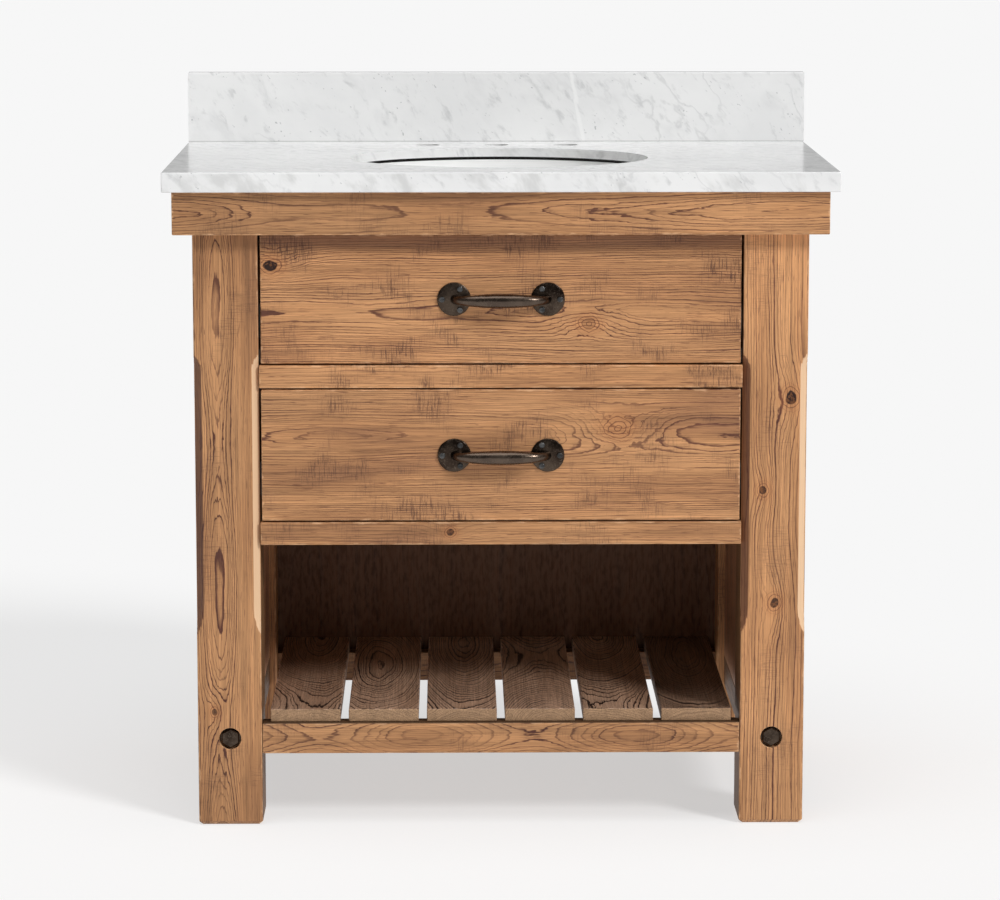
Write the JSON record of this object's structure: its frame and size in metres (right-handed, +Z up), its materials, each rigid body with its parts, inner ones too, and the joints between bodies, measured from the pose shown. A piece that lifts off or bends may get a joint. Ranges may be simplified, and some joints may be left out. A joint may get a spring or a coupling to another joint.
{
  "type": "bathroom vanity cabinet",
  "caption": "Timber bathroom vanity with a marble top, undermount oval bowl, backsplash, sliding drawers with bar pulls, and an open slatted shelf.",
  "frame": {"origin": "on the floor, under the centre of the stone top", "axes": "+X to the right as seen from the front, +Y towards the wall, +Z up"},
  "size_m": [0.9144, 0.5716, 1.0125],
  "materials": {
    "marble": "honed",
    "glazed_ceramic": "gloss",
    "pine_frame": "satin, waxed and worn",
    "drawer_box_wood": "satin",
    "dark_bronze": "oil-rubbed, satin",
    "zinc_steel": "zinc plated"
  },
  "bodies": {
    "cabinet": {"apron_front": "pine_frame", "apron_left": "pine_frame", "apron_right": "pine_frame", "back_panel": "pine_frame", "backsplash": "marble", "barrel_nuts": "zinc_steel", "bolt_washers": "dark_bronze", "bottom_rail_front": "pine_frame", "bottom_rail_left": "pine_frame", "bottom_rail_rear": "pine_frame", "bottom_rail_right": "pine_frame", "corner_blocks": "drawer_box_wood", "countertop": "marble", "frame_bolts": "dark_bronze", "front_top_rail": "pine_frame", "leg_front_left": "pine_frame", "leg_front_right": "pine_frame", "leg_rear_left": "pine_frame", "leg_rear_right": "pine_frame", "lower_rail": "pine_frame", "middle_rail": "pine_frame", "rear_top_rail": "pine_frame", "runner_battens": "drawer_box_wood", "side_lining_left": "pine_frame", "side_lining_right": "pine_frame", "side_panel_left": "pine_frame", "side_panel_right": "pine_frame", "sink_bowl": "glazed_ceramic", "sink_clips": "zinc_steel", "slat_1": "pine_frame", "slat_2": "pine_frame", "slat_3": "pine_frame", "slat_4": "pine_frame", "slat_5": "pine_frame", "slat_6": "pine_frame", "slat_screws": "zinc_steel", "slide_outer_lower": "zinc_steel", "slide_outer_upper": "zinc_steel"},
    "upper_drawer": {"upper_box_backs": "drawer_box_wood", "upper_box_bottoms": "drawer_box_wood", "upper_box_front": "drawer_box_wood", "upper_box_inner_sides": "drawer_box_wood", "upper_box_side_left": "drawer_box_wood", "upper_box_side_right": "drawer_box_wood", "upper_drawer_front": "pine_frame", "upper_handle": "dark_bronze", "upper_handle_screws": "dark_bronze", "slide_inner_upper": "zinc_steel"},
    "lower_drawer": {"lower_box_backs": "drawer_box_wood", "lower_box_bottom": "drawer_box_wood", "lower_box_front": "drawer_box_wood", "lower_box_notch": "drawer_box_wood", "lower_box_side_left": "drawer_box_wood", "lower_box_side_right": "drawer_box_wood", "lower_drawer_front": "pine_frame", "lower_handle": "dark_bronze", "lower_handle_screws": "dark_bronze", "slide_inner_lower": "zinc_steel"},
    "upper_slide_middles": {"slide_middle_upper": "zinc_steel"},
    "lower_slide_middles": {"slide_middle_lower": "zinc_steel"}
  },
  "joints": [
    {"name": "upper_drawer_slide", "type": "slide", "parent": "cabinet", "child": "upper_drawer", "axis": [0, -1, 0], "range_m": [0, 0.4]},
    {"name": "lower_drawer_slide", "type": "slide", "parent": "cabinet", "child": "lower_drawer", "axis": [0, -1, 0], "range_m": [0, 0.4]},
    {"name": "upper_middles_slide", "type": "slide", "parent": "cabinet", "child": "upper_slide_middles", "axis": [0, -1, 0], "range_m": [0, 0.2]},
    {"name": "lower_middles_slide", "type": "slide", "parent": "cabinet", "child": "lower_slide_middles", "axis": [0, -1, 0], "range_m": [0, 0.2]}
  ],
  "couplings": [
    {"joint": "upper_middles_slide", "follows": "upper_drawer_slide", "ratio": 0.5},
    {"joint": "lower_middles_slide", "follows": "lower_drawer_slide", "ratio": 0.5}
  ]
}
